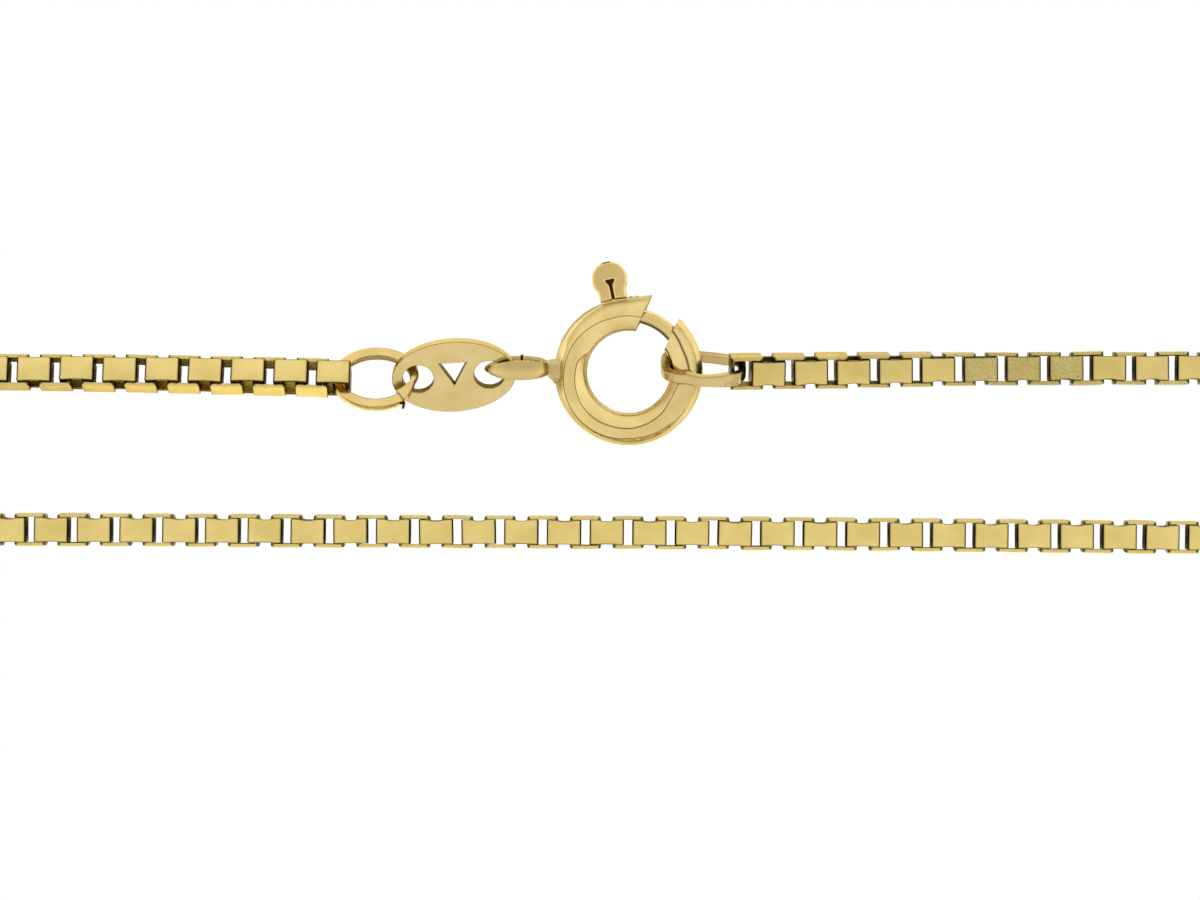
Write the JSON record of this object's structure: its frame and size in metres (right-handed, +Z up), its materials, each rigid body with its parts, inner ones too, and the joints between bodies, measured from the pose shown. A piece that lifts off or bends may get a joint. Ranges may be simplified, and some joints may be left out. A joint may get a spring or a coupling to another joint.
{
  "type": "box chain necklace",
  "caption": "Gold box chain necklace closed by a bolt ring clasp, with a pierced oval tag and a split jump ring beside the clasp, lying flat in a long closed loop.",
  "frame": {"origin": "on the surface that the necklace lies on, under the middle of its outline", "axes": "+X along the two strands, towards the end ring's side of the clasp; +Y from the plain strand to the strand with the clasp; +Z up from the surface"},
  "size_m": [0.2174, 0.0168, 0.0028],
  "materials": {
    "chain_gold": "polished yellow gold",
    "clasp_gold": "polished yellow gold",
    "tag_gold": "polished yellow gold, finely scratched"
  },
  "bodies": {
    "necklace": {"chain_links": "chain_gold", "chain_turns": "chain_gold", "clasp_ring": "clasp_gold", "end_ring": "chain_gold", "tag": "tag_gold", "jump_ring": "chain_gold"},
    "bolt_carrier": {"bolt": "clasp_gold", "thumb_catch": "clasp_gold"}
  },
  "joints": [
    {"name": "bolt_slide", "type": "hinge", "parent": "necklace", "child": "bolt_carrier", "pos_m": [0.00182, 0.00315, 0.00132], "axis": [-0.0523, 0, 0.9986], "range_deg": [0, 41], "stiffness_Nm_per_rad": 0.0054, "springref_deg": -20.05}
  ]
}
